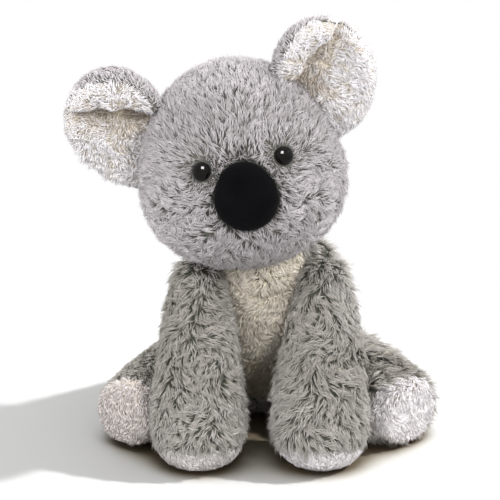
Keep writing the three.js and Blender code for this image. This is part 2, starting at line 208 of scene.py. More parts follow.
def nose_material():
    """Black velvet: a fine nap over soft patches."""
    material, graph, bsdf = shader("nose_velvet")
    place = graph.add("TexCoord").outputs["Object"]
    nap = graph.noise(place, Scale=900.0, Detail=4.0, Roughness=0.7)
    patches = graph.noise(place, Scale=60.0, Detail=2.0)
    mixed = graph.join("Math", "MULTIPLY_ADD", nap, 0.6, patches)
    raised = graph.add("Bump", Height=nap, Strength=0.6, Distance=0.0003).outputs["Normal"]
    graph.feed(bsdf, **{"Base Color": graph.ramp(mixed, [(0.5, (2, 2, 3)), (1.0, (10, 9, 12))]),
                        "Normal": raised, "Roughness": graph.spread(nap, 0.78, 0.95),
                        "Specular IOR Level": 0.05, "Sheen Weight": 0.01, "Sheen Roughness": 0.4})
    return material


def eye_material():
    """Black plastic with a faint cloud."""
    material, graph, bsdf = shader("eye_gloss")
    place = graph.add("TexCoord").outputs["Object"]
    cloud = graph.noise(place, Scale=500.0, Detail=3.0)
    graph.feed(bsdf, **{"Base Color": graph.ramp(cloud, [(0.35, (3, 3, 3)), (0.75, (9, 7, 6))]),
                        "Roughness": graph.spread(cloud, 0.04, 0.1), "Specular IOR Level": 0.13})
    return material


def root_to_tip(places, *colours):
    return list(zip(places, colours))


# The pile's colours from root to tip, then each pile's light, dark, sheen and tint when dark
GREY_PLACES, WHITE_PLACES, BELLY_PLACES = (0.0, 0.22, 0.46, 1.0), (0.0, 0.25, 0.5, 1.0), (0.0, 0.3, 0.6, 1.0)
GREY_STOPS = root_to_tip(GREY_PLACES, (62, 63, 53), (108, 107, 97), (186, 182, 176), (224, 218, 215))
HEAD_STOPS = root_to_tip(GREY_PLACES, (78, 77, 71), (132, 129, 126), (192, 187, 189), (219, 212, 217))
WHITE_STOPS = root_to_tip(WHITE_PLACES, (232, 223, 208), (245, 239, 233), (252, 247, 246), (254, 250, 251))
LINING_STOPS = root_to_tip(WHITE_PLACES, (240, 232, 220), (248, 243, 238), (253, 249, 248), (254, 251, 252))
BELLY_STOPS = root_to_tip(BELLY_PLACES, (172, 160, 132), (205, 195, 176), (226, 218, 205), (240, 233, 224))

head_pile = pile_material("head_pile", HEAD_STOPS, 1.24, 0.75, 0.12, (255, 254, 250))
limb_pile = pile_material("limb_pile", GREY_STOPS, 1.2, 0.73, 0.12, (255, 254, 247))
white_pile = pile_material("white_pile", WHITE_STOPS, 1.05, 0.74, 0.1, (254, 247, 241),
                           bleach=(252, 252, 255))
# The lining's dark, cream end also colours the painted shade under the ears' creases
lining_pile = pile_material("lining_pile", LINING_STOPS, 1.05, 0.58, 0.1, (254, 240, 220),
                            middle=(255, 251, 243), bleach=(250, 251, 254))
belly_pile = pile_material("belly_pile", BELLY_STOPS, 1.12, 0.6, 0.1, (255, 246, 228))
throat_pile = pile_material("throat_pile", BELLY_STOPS, 1.36, 0.82, 0.1, (255, 249, 238))

KNIT, KNIT_BUMP = 260.0, 0.5
grey_backing = cloth_material("grey_backing", (84, 85, 76), (116, 116, 108), KNIT, KNIT_BUMP)
white_backing = cloth_material("white_backing", (214, 204, 184), (236, 227, 214), KNIT, KNIT_BUMP)
sole_backing = cloth_material("sole_backing", (233, 226, 222), (246, 240, 238), KNIT, KNIT_BUMP)
wadding = cloth_material("wadding", (226, 226, 222), (246, 246, 243), 90.0, 0.8)
pellet_cloth = cloth_material("pellet_cloth", (190, 178, 150), (214, 203, 176), 420.0, 0.9)
washer_plastic = cloth_material("washer_plastic", (222, 222, 218), (234, 234, 230), 40.0, 0.1, roughness=0.5)
nose_velvet = nose_material()
eye_gloss = eye_material()


# Meshes

def mesh_from(name, points, faces, material):
    """A closed mesh from points in millimetres and faces as rows of corners, facing outwards."""
    points = np.asarray(points, float)
    corners = np.array([(f[0], f[i], f[i + 1]) for f in faces for i in range(1, len(f) - 1)])
    a, b, c = points[corners[:, 0]], points[corners[:, 1]], points[corners[:, 2]]
    if np.einsum("ij,ij->i", a, np.cross(b, c)).sum() < -1e-6:
        faces = [f[::-1] for f in faces]
    mesh = bpy.data.meshes.new(name)
    corners_of_faces = [tuple(int(i) for i in f) for f in faces]
    mesh.from_pydata([tuple(p) for p in points * MM], [], corners_of_faces)
    mesh.polygons.foreach_set("use_smooth", np.ones(len(mesh.polygons), bool))
    mesh.materials.append(material)
    made = bpy.data.objects.new(name, mesh)
    bpy.context.scene.collection.objects.link(made)
    return made


def points_of(piece):
    co = np.empty(len(piece.data.vertices) * 3)
    piece.data.vertices.foreach_get("co", co)
    return co.reshape(-1, 3) / MM


def set_points(piece, points):
    piece.data.vertices.foreach_set("co", (points * MM).ravel())
    piece.data.update()


def triangles_of(piece):
    mesh = piece.data
    mesh.calc_loop_triangles()
    corners = np.empty(len(mesh.loop_triangles) * 3, np.int32)
    mesh.loop_triangles.foreach_get("vertices", corners)
    return corners.reshape(-1, 3)


def normals_of(piece):
    n = np.empty(len(piece.data.vertices) * 3)
    piece.data.vertices.foreach_get("normal", n)
    return n.reshape(-1, 3)


def fit_out(piece, body, slot, *replaced):
    """Gives a piece its body and the nodes it replaces; slot is not used."""
    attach(piece, body)
    if replaced:
        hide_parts(*replaced)


def soft_copy(source, name, material, voxel, rounds):
    """A node's stuffed form without its facets, standing on the floor."""
    made = bpy.data.objects.new(name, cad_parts[source].data.copy())
    bpy.context.scene.collection.objects.link(made)
    even = made.modifiers.new("even", "REMESH")
    even.mode = "VOXEL"
    even.voxel_size = voxel * MM
    rounder = made.modifiers.new("rounder", "SMOOTH")
    rounder.factor = 0.5
    rounder.iterations = rounds
    made.data = bpy.data.meshes.new_from_object(made.evaluated_get(bpy.context.evaluated_depsgraph_get()))
    made.modifiers.clear()
    made.data.materials.clear()
    made.data.materials.append(material)
    made.data.polygons.foreach_set("use_smooth", np.ones(len(made.data.polygons), bool))
    p = points_of(made)
    p[:, 2] = np.maximum(p[:, 2], 0.0)
    set_points(made, p)
    return made


# Voxel and rounds of smoothing of the soft copies
COVER_VOXEL, COVER_ROUNDS = 1.7, 5
FILLING_VOXEL, FILLING_ROUNDS = 3.0, 4
BAG_VOXEL, BAG_ROUNDS = 1.5, 3
NOSE_VOXEL, NOSE_ROUNDS = 1.2, 2
COVERS = [
    ("body_cover", "torso", "grey_pile", grey_backing),
    ("belly_panel", "torso", "white_pile", white_backing),
    ("neck_cover", "neck", "grey_pile", grey_backing),
    ("head_cover", "head", "grey_pile", grey_backing),
    ("left_arm_cover", "left_arm", "grey_pile", grey_backing),
    ("right_arm_cover", "right_arm", "grey_pile", grey_backing),
    ("left_paw_sole", "left_arm", "white_pile", sole_backing),
    ("right_paw_sole", "right_arm", "white_pile", sole_backing),
    ("left_leg_cover", "left_leg", "grey_pile", grey_backing),
    ("right_leg_cover", "right_leg", "grey_pile", grey_backing),
    ("left_foot_pad", "left_leg", "white_pile", white_backing),
    ("right_foot_pad", "right_leg", "white_pile", white_backing),
]
FILLINGS = [
    ("body_filling", "torso"), ("neck_filling", "neck_core"), ("head_filling", "head"),
    ("left_arm_filling", "left_arm"), ("right_arm_filling", "right_arm"),
    ("left_leg_filling", "left_leg"), ("right_leg_filling", "right_leg"),
]

skins = {}
for source, body, slot, material in COVERS:
    skin = soft_copy(source, source + "_cloth", material, COVER_VOXEL, COVER_ROUNDS)
    fit_out(skin, body, slot, source)
    skins[source] = skin
fillings = {}
for source, body in FILLINGS:
    filling = soft_copy(source, source + "_fibre", wadding, FILLING_VOXEL, FILLING_ROUNDS)
    fit_out(filling, body, "stuffing", source)
    fillings[source] = filling
bag = soft_copy("pellet_bag", "pellet_bag_cloth", pellet_cloth, BAG_VOXEL, BAG_ROUNDS)
fit_out(bag, "torso", "pellet_cloth", "pellet_bag")


# Nose and eyes

def grid_faces(rows, columns):
    """Faces between rings of points."""
    faces = []
    for i in range(rows - 1):
        for j in range(columns):
            k = (j + 1) % columns
            faces.append((i * columns + j, i * columns + k, (i + 1) * columns + k, (i + 1) * columns + j))
    return faces


NOSE_HALF_WIDTH, NOSE_HALF_HEIGHT, NOSE_HALF_DEPTH = 16.8, 18.2, 13.0
NOSE_TIP_SHARE, NOSE_FULLNESS, NOSE_PITCH = 0.86, 0.85, 4.0


def round_form(half_width, half_height, half_depth, tip_share, fullness, around=56, along=40):
    """The nose's stuffed form, narrower above than below, with both ends closed."""
    points = []
    for i in range(along + 1):
        pole = -math.cos(math.pi * i / along)
        share = (1 + pole) / 2
        ring = math.sqrt(max(0.0, 1 - pole * pole)) ** fullness
        taper = 1 - (1 - tip_share) * smooth(0.35, 1.0, share)
        angle = np.arange(around) * 2 * math.pi / around
        points.append(np.stack([
            half_width * taper * ring * np.cos(angle),
            half_depth * taper * ring * np.sin(angle),
            np.full(around, half_height * pole),
        ], -1))
    faces = grid_faces(along + 1, around)
    return np.concatenate(points), faces


nose_points, nose_faces = round_form(NOSE_HALF_WIDTH, NOSE_HALF_HEIGHT, NOSE_HALF_DEPTH,
                                     NOSE_TIP_SHARE, NOSE_FULLNESS)
nose_points = nose_points @ (HEAD_TURN @ about_x(NOSE_PITCH)).T + NOSE_AT
nose = mesh_from("nose_velvet_cover", nose_points, nose_faces, nose_velvet)
fit_out(nose, "head", "nose_cloth", "nose_cover")
nose_fibre = soft_copy("nose_filling", "nose_filling_fibre", wadding, NOSE_VOXEL, NOSE_ROUNDS)
fit_out(nose_fibre, "head", "stuffing", "nose_filling")


def lathe(profile, around):
    """Points and faces of a turned solid about Z, from pairs of radius and height."""
    angle = np.arange(around) * 2 * math.pi / around
    points = np.concatenate([
        np.stack([r * np.cos(angle), r * np.sin(angle), np.full(around, h)], -1) for r, h in profile
    ])
    return points, grid_faces(len(profile), around)


EYE_RADIUS, EYE_EDGE, EYE_DOME = 5.0, 1.2, 4.0
EYE_STEM_RADIUS, EYE_STEM, EYE_AXIS = 1.6, 11.0, 0.01
EYE_STEPS, EYE_COLUMNS = 18, 48
eye_profile = [(EYE_AXIS, -EYE_STEM), (EYE_STEM_RADIUS, -EYE_STEM), (EYE_STEM_RADIUS, 0.0),
               (4.4, 0.0), (4.6, 0.15), (EYE_RADIUS, EYE_EDGE)]
for i in range(1, EYE_STEPS + 1):
    angle = math.pi / 2 * i / EYE_STEPS
    eye_profile.append((max(EYE_AXIS, EYE_RADIUS * math.cos(angle)), EYE_EDGE + EYE_DOME * math.sin(angle)))

eyes = []
for name in SIDES:
    points, faces = lathe(eye_profile, EYE_COLUMNS)
    turn = HEAD_TURN @ about_z(EYES[name][1]) @ about_x(90.0 - EYE_PITCH)
    eye = mesh_from(f"{name}_eye_dome", points @ turn.T + EYE_AT[name], faces, eye_gloss)
    fit_out(eye, "head", "eye_plastic", f"{name}_eye")
    eyes.append(eye)
    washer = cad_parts[f"{name}_eye_washer"]
    washer.data.materials.clear()
    washer.data.materials.append(washer_plastic)


# Ears

EARS = {
    # reach and rise: how far the ear's centre is from the head's, and at which angle up from the side
    # lobe_at, crease, out: the lobe's direction from the ear's centre, the crease's distance that way,
    #   and how far the lobe stands out
    # band, band_at, band_fades: how wide the back's cloth shows at the front, in which direction, and
    #   between which angles from there it narrows
    # tuck: how far the ear's lower end is drawn in
    # full_at, full: in which direction the outline is fuller, and by what share
    "left": {"reach": 63.5, "rise": 46.0, "lobe_at": 143.0, "crease": 14.5, "out": 7.0, "band": 4.8,
             "band_at": 172.0, "band_fades": (15.0, 75.0), "tuck": 0.0, "full_at": 118.0, "full": 0.1},
    "right": {"reach": 67.0, "rise": 16.0, "lobe_at": 88.0, "crease": 13.5, "out": 7.5, "band": 5.8,
              "band_at": 52.0, "band_fades": (35.0, 95.0), "tuck": 12.0, "full_at": 125.0, "full": 0.12},
}
EAR_WIDE, EAR_TALL = 26.75, 31.5
EAR_COLUMNS = 120
INNER_RINGS, RIM_RINGS = 24, 8
EAR_BEHIND = 10.0
DISH_FRONT, DISH_FLARE = 9.0, 4.0
LOBE_CREST, LOBE_SPREAD, FOLD_DEPTH = 7.0, 15.0, 0.7
BACK_REAR, BACK_CURL, BACK_SHARE = -1.0, 6.0, 0.4
FULL_SPREAD, TUCK_SPAN = 52.0, 29.5
RIM_FROM, RIM_SHARE = 0.84, 0.16
LEAST_BAND, SEAM_STEP, LINING_SHARE, LAYER_GAP = 0.8, 0.004, 0.99, 0.3


def above_crease(spec, x, z):
    """How far a point is above the wavy crease under an ear's lobe."""
    a = math.radians(spec["lobe_at"])
    along = z * math.cos(a) - x * math.sin(a)
    ripple = 0.7 * np.sin(along / 3.3 + 1.0) + 0.45 * np.sin(along / 1.9)
    bow = 1.6 * (along / 25.0) ** 2
    return x * math.cos(a) + z * math.sin(a) - spec["crease"] + (ripple + bow)


def ear_front(spec, x, z, share):
    """How far the ear's face stands forward: a dish with a lobe that hangs over its crease."""
    above = above_crease(spec, x, z)
    swell = np.sqrt(np.clip(1 - ((above - LOBE_CREST) / LOBE_SPREAD) ** 2, 0, 1))
    lobe = smooth(-1.2, 1.4, above) * swell
    below = smooth(-16.0, -1.5, above) * (1 - smooth(-1.2, 0.6, above))
    return DISH_FRONT + DISH_FLARE * share ** 2 + spec["out"] * lobe - FOLD_DEPTH * below


def off_direction(angle, direction):
    """The turn from a direction, in degrees from -180 to 180."""
    return (np.degrees(angle) - direction + 180) % 360 - 180


def ear_rings(spec, shares):
    """Rings of an ear from its centre to its rim: across, up, and the levels of its front and rear."""
    angle = np.arange(EAR_COLUMNS) * 2 * math.pi / EAR_COLUMNS
    rings = []
    for share in shares:
        share = np.broadcast_to(share, angle.shape)
        off = off_direction(angle, spec["full_at"])
        size = share * (1 + spec["full"] * np.exp(-(off / FULL_SPREAD) ** 2) * share ** 2)
        x, z = EAR_WIDE * size * np.cos(angle), EAR_TALL * size * np.sin(angle)
        front, rear = ear_front(spec, x, z, share), BACK_REAR + BACK_CURL * share ** 2
        x = x + spec["tuck"] * (np.maximum(-z, 0) / TUCK_SPAN) ** 1.3
        edge = np.sqrt(np.clip(1 - (np.maximum(share - RIM_FROM, 0) / RIM_SHARE) ** 2, 0, 1))
        middle = rear + (front - rear) * 0.5
        rings.append((x, z, middle + (front - middle) * edge, middle + (rear - middle) * edge))
    return rings


def ear_piece(spec, kind):
    """An ear's grey back with its rolled rim, or its white lining, as closed rings of points."""
    angle = np.arange(EAR_COLUMNS) * 2 * math.pi / EAR_COLUMNS
    off = np.abs(off_direction(angle, spec["band_at"]))
    band = LEAST_BAND + (spec["band"] - LEAST_BAND) * (1 - smooth(*spec["band_fades"], off))
    seam = 1 - band / (EAR_WIDE + EAR_TALL) * 2
    inner = [seam * i / INNER_RINGS for i in range(1, INNER_RINGS + 1)]
    if kind == "back":
        rim = [seam + (1 - seam) * i / RIM_RINGS for i in range(1, RIM_RINGS + 1)]
        rings = ear_rings(spec, [*inner, seam + SEAM_STEP, *rim])
        upper = []
        for i, (x, z, front, rear) in enumerate(rings):
            level = front if i >= len(inner) else rear + (front - rear) * BACK_SHARE
            upper.append(np.stack([x, -level, z], -1))
        lower = [np.stack([x, -rear, z], -1) for x, z, _, rear in rings[:-1]]
    else:
        rings = ear_rings(spec, [share * LINING_SHARE for share in inner])
        upper = [np.stack([x, -front, z], -1) for x, z, front, _ in rings]
        lower = [np.stack([x, -(rear + (front - rear) * BACK_SHARE + LAYER_GAP), z], -1)
                 for x, z, front, rear in rings]
    rows = [*upper, *lower[::-1]]
    top, bottom = rows[0].mean(0), rows[-1].mean(0)
    points = np.concatenate([*rows, [top], [bottom]])
    faces = grid_faces(len(rows), EAR_COLUMNS)
    last = (len(rows) - 1) * EAR_COLUMNS
    for j in range(EAR_COLUMNS):
        k = (j + 1) % EAR_COLUMNS
        faces.append((k, j, len(rows) * EAR_COLUMNS))
        faces.append((last + j, last + k, len(rows) * EAR_COLUMNS + 1))
    return points, faces


ear_pieces = {}
for name, spec in EARS.items():
    side, reach, rise = SIDES[name], spec["reach"], math.radians(spec["rise"])
    centre = HEAD_MIDDLE + np.array([side * reach * math.cos(rise), EAR_BEHIND, reach * math.sin(rise)])
    spec["centre"] = centre
    for kind, material, slot in (("back", grey_backing, "grey_pile"),
                                 ("lining", white_backing, "white_pile")):
        points, faces = ear_piece(spec, kind)
        made = mesh_from(f"{name}_ear_{kind}_cloth", points + centre, faces, material)
        fit_out(made, f"{name}_ear", slot, f"{name}_ear_{kind}")
        ear_pieces[name, kind] = made


# Pile

def tree_of(pieces):
    """A search tree of the faces of some pieces."""
    points, faces, first = [], [], 0
    for piece in pieces:
        p = points_of(piece)
        points.extend(p.tolist())
        faces.extend((triangles_of(piece) + first).tolist())
        first += len(p)
    return BVHTree.FromPolygons(points, faces)


solid_bodies = [(skins[source], body) for source, body, _, _ in COVERS]
solid_bodies += [(made, f"{name}_ear") for (name, _), made in ear_pieces.items()] + [(nose, "head")]
solid_tree = tree_of([piece for piece, _ in solid_bodies])
body_of_face = [body for piece, body in solid_bodies for _ in triangles_of(piece)]
fibre_tree = tree_of(fillings.values())

# Triangles in a strand and at most in a mesh, and the share of the strands that grow
STRAND_TRIANGLES, MOST_TRIANGLES = 10, 198000
DENSITY = 1.0
# Room above a root in the open, and the pile's length under another body
OPEN_ROOM, SHORT_PILE = 60.0, 1.7
# The ray up from a root, how near a surface touches it, and how near a filling marks a cover's inside
RAY_START, RAY_LENGTH, TOUCHING, LINED_WITHIN = 0.5, 40.0, 2.0, 2.6


def scatter(piece, density, rng):
    """Roots spread evenly over a piece, with the surface's normals there."""
    p, n, tri = points_of(piece), normals_of(piece), triangles_of(piece)
    a, b, c = p[tri[:, 0]], p[tri[:, 1]], p[tri[:, 2]]
    area = np.linalg.norm(np.cross(b - a, c - a), axis=1) / 2
    count = int(area.sum() * density * DENSITY)
    places = (np.arange(count) + rng.uniform(size=count)) / count
    chosen = np.searchsorted(np.cumsum(area) / area.sum(), places)
    chosen = np.minimum(chosen, len(tri) - 1)
    u, v = rng.uniform(size=(2, count, 1))
    over = u + v > 1
    u, v = np.where(over, 1 - u, u), np.where(over, 1 - v, v)
    w = 1 - u - v
    t = tri[chosen]
    roots = a[chosen] * w + b[chosen] * u + c[chosen] * v
    normals = unit(n[t[:, 0]] * w + n[t[:, 1]] * u + n[t[:, 2]] * v)
    return roots, normals


def in_the_open(roots, normals, inner, body):
    """How much room each root has above it, 0 where no pile grows, such as inside a cover.

    Where another body lies on the surface, as under an arm, short pile grows for the poses that lay it bare.
    """
    room = np.full(len(roots), OPEN_ROOM)
    for i in range(len(roots)):
        p, n = Vector(roots[i]), Vector(normals[i])
        if inner is not None:
            near = inner.find_nearest(p, LINED_WITHIN)
            if near[0] is not None:
                room[i] = 0
                continue
        place, face_normal, face, distance = solid_tree.ray_cast(p + n * RAY_START, n, RAY_LENGTH)
        if place is not None:
            if distance < TOUCHING or face_normal.dot(n) > 0:
                room[i] = 0 if body_of_face[face] == body else SHORT_PILE
            else:
                room[i] = distance
    return room


# A strand has a ring of points at its root, one at its middle and a tip. Its faces are three quads below,
# three triangles above and the root, written corner by corner, with where each face starts.
STRAND_CORNERS = np.array([0, 1, 4, 3, 1, 2, 5, 4, 2, 0, 3, 5, 3, 4, 6, 4, 5, 6, 5, 3, 6, 2, 1, 0])
STRAND_STARTS = np.array([0, 4, 8, 12, 15, 18, 21])
STRAND_POINTS, STRAND_SIDES = 7, 3
STRAND_U = np.array([0, 1, 2, 0, 1, 2, 1]) * 0.012
STRAND_V = np.array([0.02, 0.02, 0.02, 0.5, 0.5, 0.5, 0.98])
ROOT_DEPTH, ROOT_GIRTH, MIDDLE_GIRTH = 0.6, 0.55, 0.5
LEAST_HEIGHT, LEAST_CORNER = 0.25, 0.05
MIDDLE_TONE, TONE_LIMITS, LOCK_SHADE = 0.48, (0.02, 0.94), 0.22
# How far locks and then the strands in them differ: turn in radians, lay in degrees, the rest as shares
BROAD_WAVE, FINE_WAVE, ROOT_BLUR = 26.0, 10.0, 0.7
LOCK_TURN, LOCK_LAY, LOCK_LENGTH, LOCK_TONE = 0.25, 4.5, 0.11, 0.1
OWN_TURN, OWN_LENGTH, OWN_GIRTH, OWN_TONE = 0.22, 0.12, 0.18, 0.1


def strands(name, body, slot, material, roots, normals, comb, rng, room, length, lay, lock, clump, width,
            swirl, curl, bend=0.5, jitter=0.12, tone_spread=1.0, tone_field=None, length_field=None,
            lay_field=None, swirl_field=None):
    """Pile as closed, tapered, three-sided strands that gather in locks and follow the comb.

    A strand is as long as length, leans by lay in degrees from the surface's normal and is width thick. lock
    is how many gather in a lock, clump how tightly; swirl, curl and bend shape the locks, and jitter and
    tone_spread set how much the strands of a lock differ. The fields vary these over the piece.
    """
    lock_count = max(8, int(len(roots) / lock))
    picks = rng.choice(len(roots), lock_count, replace=False)
    kd = KDTree(lock_count)
    for i, k in enumerate(picks):
        kd.insert(roots[k], i)
    kd.balance()
    blurred = roots + rng.normal(scale=ROOT_BLUR, size=roots.shape)
    own = np.array([kd.find(p)[1] for p in blurred])
    centre, centre_normal = roots[picks], normals[picks]

    def lie(p, n, turn):
        d = comb(p, n)
        d = unit(d - (d * n).sum(-1, keepdims=True) * n)
        side = np.cross(n, d)
        return d * np.cos(turn)[:, None] + side * np.sin(turn)[:, None]

    swirls = waves(int(rng.integers(1 << 30)), BROAD_WAVE)
    fine = waves(int(rng.integers(1 << 30)), FINE_WAVE)
    turn = swirls(centre) * swirl + fine(centre) * swirl * 0.5
    turn = turn + rng.normal(scale=LOCK_TURN, size=lock_count)
    if swirl_field is not None:
        turn = turn * swirl_field(centre)
    lock_way = lie(centre, centre_normal, turn)
    lock_lay = np.radians(lay + rng.normal(scale=LOCK_LAY, size=lock_count))
    lock_length = length * np.clip(rng.normal(1.0, LOCK_LENGTH, lock_count), 0.7, 1.25)
    lock_curl = rng.normal(scale=curl, size=lock_count)
    way = lie(roots, normals, turn[own] + rng.normal(scale=OWN_TURN, size=len(roots)))
    way = unit(way * (1 - clump * 0.6) + lock_way[own] * clump)
    angle = lock_lay[own] + rng.normal(scale=jitter, size=len(roots))
    if lay_field is not None:
        angle = angle * lay_field(roots)
    size = lock_length[own] * np.clip(rng.normal(1.0, OWN_LENGTH, len(roots)), 0.5, 1.2)
    if length_field is not None:
        size = size * length_field(roots)
    size = np.minimum(size, room * 1.2)
    heading = unit(normals * np.cos(angle)[:, None] + way * np.sin(angle)[:, None])
    pull = centre[own] - roots
    pull -= (pull * normals).sum(-1, keepdims=True) * normals
    aside = unit(np.cross(normals, heading)) * (size * lock_curl[own])[:, None]
    tip = roots + heading * size[:, None] + pull * clump * 0.85 + aside
    rise = roots + normals * (size * bend)[:, None] * 0.55 + heading * (size * 0.25)[:, None]
    base = roots - normals * ROOT_DEPTH
    for places in (tip, rise, base):
        places[:, 2] = np.maximum(places[:, 2], LEAST_HEIGHT)
    middle = base * 0.2 + rise * 0.5 + tip * 0.3
    along = unit(tip - base)
    across = unit(np.cross(along, rng.normal(size=along.shape)))
    beside = np.cross(along, across)
    thick = width * np.clip(rng.normal(1.0, OWN_GIRTH, len(roots)), 0.5, 1.5)
    count = len(roots)
    points = np.empty((count, STRAND_POINTS, 3))
    for k in range(STRAND_SIDES):
        a = 2 * math.pi * k / STRAND_SIDES
        ring = across * math.cos(a) + beside * math.sin(a)
        points[:, k] = base + ring * (thick * ROOT_GIRTH)[:, None]
        points[:, STRAND_SIDES + k] = middle + ring * (thick * MIDDLE_GIRTH)[:, None]
    points[:, 2 * STRAND_SIDES] = tip
    points[:, :, 2] = np.maximum(points[:, :, 2], LEAST_CORNER)
    spread = math.sqrt(lock / 1.4 / math.pi)
    off = np.linalg.norm(pull, axis=1) / spread
    tone = LOCK_TONE * rng.normal(size=lock_count)[own] + OWN_TONE * rng.normal(size=count)
    tone = tone - LOCK_SHADE * (off - 0.65)
    tone = MIDDLE_TONE + tone * tone_spread
    if tone_field is not None:
        tone = tone + tone_field(roots)
    tone = np.clip(tone, *TONE_LIMITS)
    order = np.argsort(roots[:, 1], kind="stable")
    groups = max(1, math.ceil(count * STRAND_TRIANGLES / MOST_TRIANGLES))
    for g, members in enumerate(np.array_split(order, groups)):
        mesh = strand_mesh(name, points[members], tone[members])
        mesh.materials.append(material)
        label = name if groups == 1 else f"{name}_{g + 1}"
        piece = bpy.data.objects.new(label, mesh)
        bpy.context.scene.collection.objects.link(piece)
        fit_out(piece, body, slot)
    print("pile", name, count, "strands")


def strand_mesh(name, points, tone):
    """One mesh of strands, with their tone in U and the way from root to tip in V."""
    count, corners, faces = len(points), len(STRAND_CORNERS), len(STRAND_STARTS)
    mesh = bpy.data.meshes.new(name)
    mesh.vertices.add(count * STRAND_POINTS)
    mesh.vertices.foreach_set("co", (points * MM).astype(np.float32).ravel())
    mesh.loops.add(count * corners)
    index = np.arange(count)[:, None] * STRAND_POINTS + STRAND_CORNERS[None, :]
    mesh.loops.foreach_set("vertex_index", index.astype(np.int32).ravel())
    mesh.polygons.add(count * faces)
    start = np.arange(count)[:, None] * corners + STRAND_STARTS[None, :]
    mesh.polygons.foreach_set("loop_start", start.astype(np.int32).ravel())
    mesh.polygons.foreach_set("use_smooth", np.ones(count * faces, bool))
    mesh.update(calc_edges=True)
    uv = mesh.uv_layers.new(name="OFBake")
    both = np.empty((count, corners, 2), np.float32)
    both[:, :, 0] = tone[:, None] + STRAND_U[STRAND_CORNERS][None, :]
    both[:, :, 1] = STRAND_V[STRAND_CORNERS][None, :]
    uv.data.foreach_set("uv", both.ravel())
    return mesh


def grow(name, source, body, slot, material, comb, seed, density, inner=fibre_tree, keep=None, **style):
    """Pile on a piece where it has room and is kept, with its own seed and its strands per mm2."""
    rng = np.random.default_rng(seed)
    roots, normals = scatter(source, density, rng)
    room = in_the_open(roots, normals, inner, body)
    wanted = room > 0
    if keep is not None:
        wanted &= keep(roots, normals)
    roots, normals, room = roots[wanted], normals[wanted], room[wanted]
    strands(name, body, slot, material, roots, normals, comb, rng, room, **style)


def even_tone(value):
    return lambda p: np.full(len(p), value)


def toward(direction):
    way = np.array(direction, float)
    return lambda p, n: np.broadcast_to(way, p.shape)


def head_comb(p, n):
    """Away from the nose and round the eyes, and down behind the ears."""
    away = unit(p - NOSE_AT)
    for centre in EYE_AT.values():
        gap = np.linalg.norm(p - centre, axis=1, keepdims=True)
        near = 1 - smooth(7.0, 15.0, gap)
        away = away * (1 - near * 0.7) + unit(p - centre) * near * 0.7
    behind = smooth(-45.0, -5.0, p[:, 1])[:, None]
    return away * (1 - behind) + np.array([0.0, 0.3, -1.0]) * behind


BARE_HALF_WIDTH, BARE_HALF_HEIGHT = 14.8, 16.2


def head_keep(p, n):
    """No pile under the eyes and the nose."""
    kept = np.ones(len(p), bool)
    for centre in EYE_AT.values():
        kept &= np.linalg.norm(p - centre, axis=1) > EYE_RADIUS
    local = (p - NOSE_AT) @ HEAD_TURN
    kept &= (local[:, 0] / BARE_HALF_WIDTH) ** 2 + (local[:, 2] / BARE_HALF_HEIGHT) ** 2 > 1.0
    return kept | (p[:, 1] > FACE_Y)


def from_nose(p):
    """How far a point of the face is from the nose's middle, 1 at its edge, and far off elsewhere."""
    local = (p - NOSE_AT) @ HEAD_TURN
    rim = np.sqrt((local[:, 0] / NOSE_HALF_WIDTH) ** 2 + (local[:, 2] / NOSE_HALF_HEIGHT) ** 2)
    return np.where(p[:, 1] < FACE_Y, rim, 9.0)


def from_eyes(p):
    """How far a point is from the nearer eye."""
    return np.min([np.linalg.norm(p - centre, axis=1) for centre in EYE_AT.values()], axis=0)


def head_length(p):
    """Short round the eyes and the nose, and on the crown."""
    round_eyes = 0.45 + 0.55 * smooth(EYE_RADIUS, 14.0, from_eyes(p))
    crown = 1 - 0.35 * smooth(30.0, 55.0, ((p - HEAD_MIDDLE) @ HEAD_TURN)[:, 2])
    return round_eyes * crown * (0.72 + 0.28 * smooth(1.0, 1.6, from_nose(p)))


def head_lay(p):
    """Upright beside the nose and the eyes."""
    return (0.3 + 0.7 * smooth(1.0, 1.45, from_nose(p))) * (0.75 + 0.25 * smooth(EYE_RADIUS, 9.0, from_eyes(p)))


def head_swirl(p):
    """Calm on the forehead, tousled round the muzzle and the cheeks."""
    local = (p - HEAD_MIDDLE) @ HEAD_TURN
    return 0.6 + 1.8 * (1 - smooth(-12.0, 16.0, local[:, 2]))


def head_painted_light_and_shade(p):
    """Painted light and shade on the head: pale on the cheeks, as painted light, and on the crown, and dark, as
    painted shade, on the chin and round the eyes and the nose.
    """
    x, _, z = ((p - HEAD_MIDDLE) @ HEAD_TURN).T
    # Painted light on the cheeks, most on the toy's right, which the key lamp leaves darker
    cheeks = 0.24 * np.exp(-((z + 16.0) / 20.0) ** 2) + 0.36 * smooth(-18.0, -46.0, x) - 0.05
    # Painted shade under the chin, and a paler crown
    tone = cheeks - 0.3 * (1 - smooth(-50.0, -36.0, z)) + 0.35 * smooth(34.0, 54.0, z)
    return tone - 0.45 * (1 - smooth(5.5, 10.5, from_eyes(p))) - 0.1 * (1 - smooth(1.0, 1.25, from_nose(p)))


HEAD_STYLE = dict(length=6.0, lay=70.0, lock=9, clump=0.62, width=0.46, swirl=0.3, curl=0.24, bend=0.35,
                  jitter=0.09)
LIMB_STYLE = dict(length=6.8, lay=65.0, lock=9, clump=0.78, width=0.45, swirl=0.6, curl=0.35, bend=0.42,
                  jitter=0.08)
WHITE_STYLE = dict(length=4.4, lay=64.0, lock=10, clump=0.35, width=0.54, swirl=0.8, curl=0.3)
PAD_STYLE = dict(length=3.6, lay=70.0, lock=12, clump=0.26, width=0.62, swirl=0.5, curl=0.2, jitter=0.07,
                 tone_spread=0.3, length_field=lambda p: 0.5 + 0.5 * smooth(2.0, 9.0, p[:, 2]))


